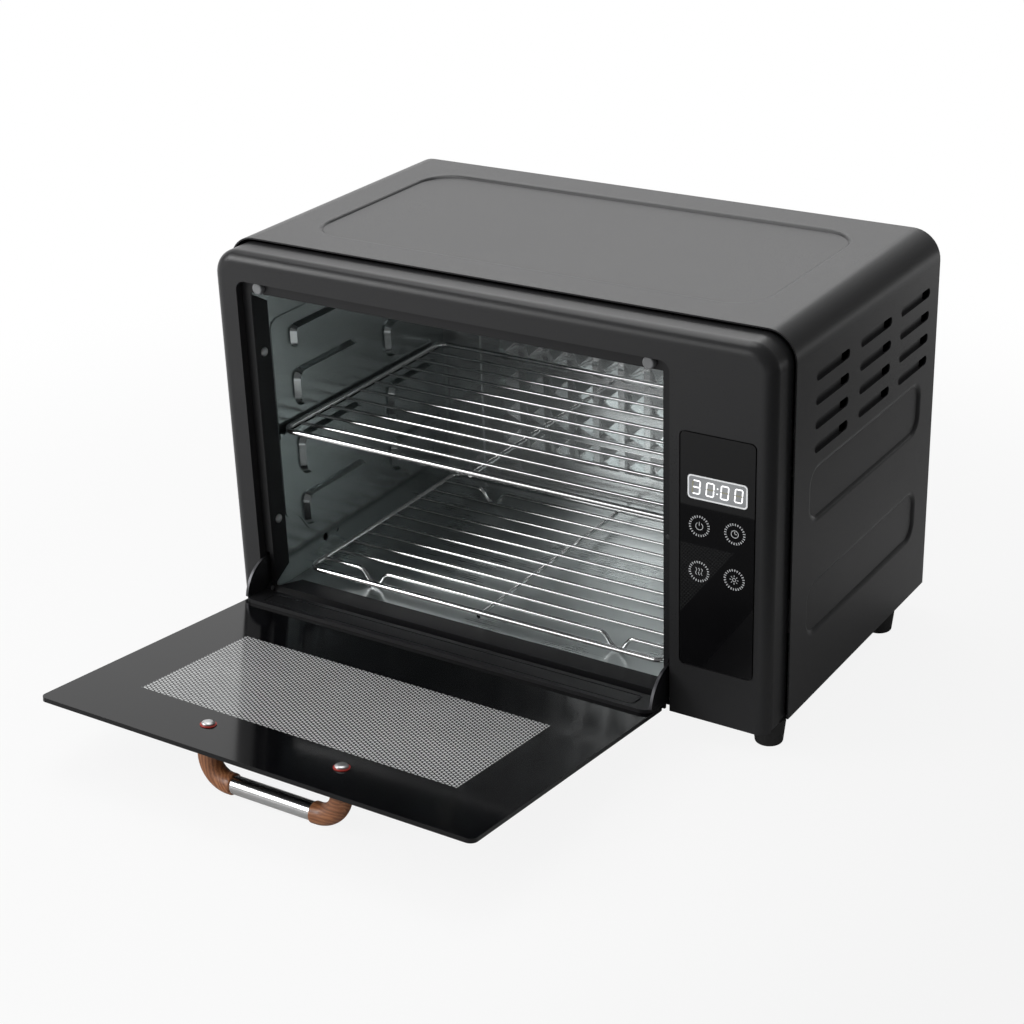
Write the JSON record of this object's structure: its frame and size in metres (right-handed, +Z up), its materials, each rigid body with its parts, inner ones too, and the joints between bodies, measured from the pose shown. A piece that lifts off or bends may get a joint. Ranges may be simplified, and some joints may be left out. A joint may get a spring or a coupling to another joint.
{
  "type": "sterilizer dryer",
  "caption": "Countertop ultraviolet sterilizer and dryer: black steel cabinet with drop-down glass door, wire racks, touch panel, lamp, heater and fan.",
  "frame": {"origin": "on the surface the feet stand on, under the middle of the outline with the door open", "axes": "+Z up, +Y from the door to the back, +X to the control panel side"},
  "size_m": [0.425, 0.468, 0.277],
  "materials": {
    "body_paint": "satin charcoal paint with a fine texture",
    "frame_paint": "black satin paint",
    "cavity_steel": "bright coated sheet",
    "inner_steel": "plain galvanised sheet",
    "panel_gloss": "smooth black",
    "display_grey": "grey window",
    "module_black": "moulded",
    "board_green": "circuit board lacquer",
    "pad_carbon": "conductive foam",
    "door_glass": "black tempered glass with a printed dot field",
    "hinge_steel": "zinc-plated",
    "handle_wood": "oiled walnut",
    "chrome": "polished",
    "washer_red": "soft red fibre",
    "foot_rubber": "matt",
    "bumper_grey": "translucent grey",
    "white_ceramic": "heat-proof white",
    "lamp_glass": "clear quartz tube",
    "heater_fins": "bare fins",
    "fan_black": "moulded"
  },
  "bodies": {
    "cabinet": {"outer_shell": "body_paint", "back_panel": "body_paint", "back_screws": "hinge_steel", "base_plate": "inner_steel", "foot_front_left": "foot_rubber", "foot_front_right": "foot_rubber", "foot_rear_left": "foot_rubber", "foot_rear_right": "foot_rubber", "foot_screws": "hinge_steel", "front_bezel": "body_paint", "control_panel": "panel_gloss", "display_lens": "display_grey", "display_module": "module_black", "touch_pads": "pad_carbon", "control_board": "board_green", "board_spacers": "white_ceramic", "front_frame": "frame_paint", "frame_screws": "hinge_steel", "cavity_left_wall": "cavity_steel", "cavity_right_wall": "cavity_steel", "rack_rail_left": "cavity_steel", "rack_rail_right": "cavity_steel", "cavity_ceiling": "cavity_steel", "cavity_floor": "cavity_steel", "rear_reflector": "cavity_steel", "bumper_left": "bumper_grey", "bumper_right": "bumper_grey", "door_switch": "module_black", "hinge_pin_left": "hinge_steel", "hinge_pin_right": "hinge_steel", "hinge_spring_left": "hinge_steel", "hinge_spring_right": "hinge_steel", "uv_lamp": "lamp_glass", "lamp_holder_left": "white_ceramic", "lamp_holder_right": "white_ceramic", "lamp_driver": "module_black", "heater_duct": "inner_steel", "ptc_heater": "heater_fins", "fan_frame": "fan_black", "fan_motor": "fan_black", "thermal_cutout": "white_ceramic", "temperature_probe": "hinge_steel", "power_board": "board_green", "power_standoffs": "white_ceramic", "cord_gland": "module_black"},
    "door": {"door_glass": "door_glass", "door_hinge_strip": "frame_paint", "hinge_arm_left": "hinge_steel", "hinge_arm_right": "hinge_steel", "handle_elbow_left": "handle_wood", "handle_elbow_right": "handle_wood", "handle_tube": "chrome", "handle_washers": "washer_red", "handle_screws": "chrome"},
    "upper_rack": {"upper_rack": "chrome"},
    "lower_rack": {"lower_rack": "chrome"},
    "fan_rotor": {"fan_impeller": "fan_black", "fan_shaft": "hinge_steel"},
    "switch_plunger": {"switch_plunger": "module_black"}
  },
  "joints": [
    {"name": "door_hinge", "type": "hinge", "parent": "cabinet", "child": "door", "pos_m": [0, -0.00496, 0.023], "axis": [-1, 0, 0], "range_deg": [0, 83.47], "deforming": ["hinge_spring_left", "hinge_spring_right"]},
    {"name": "upper_rack_slide", "type": "slide", "parent": "cabinet", "child": "upper_rack", "axis": [0, 1, 0], "range_m": [-0.12, 0]},
    {"name": "lower_rack_lift", "type": "slide", "parent": "cabinet", "child": "lower_rack", "axis": [0, 0, 1], "range_m": [0, 0.06]},
    {"name": "fan_spin", "type": "hinge", "parent": "cabinet", "child": "fan_rotor", "pos_m": [0.169, 0.14098, 0.09248], "axis": [1, 0, 0], "continuous": true},
    {"name": "switch_press", "type": "slide", "parent": "cabinet", "child": "switch_plunger", "axis": [0, 1, 0], "range_m": [0, 0.0025], "stiffness_N_per_m": 200, "springref_m": -0.001}
  ]
}
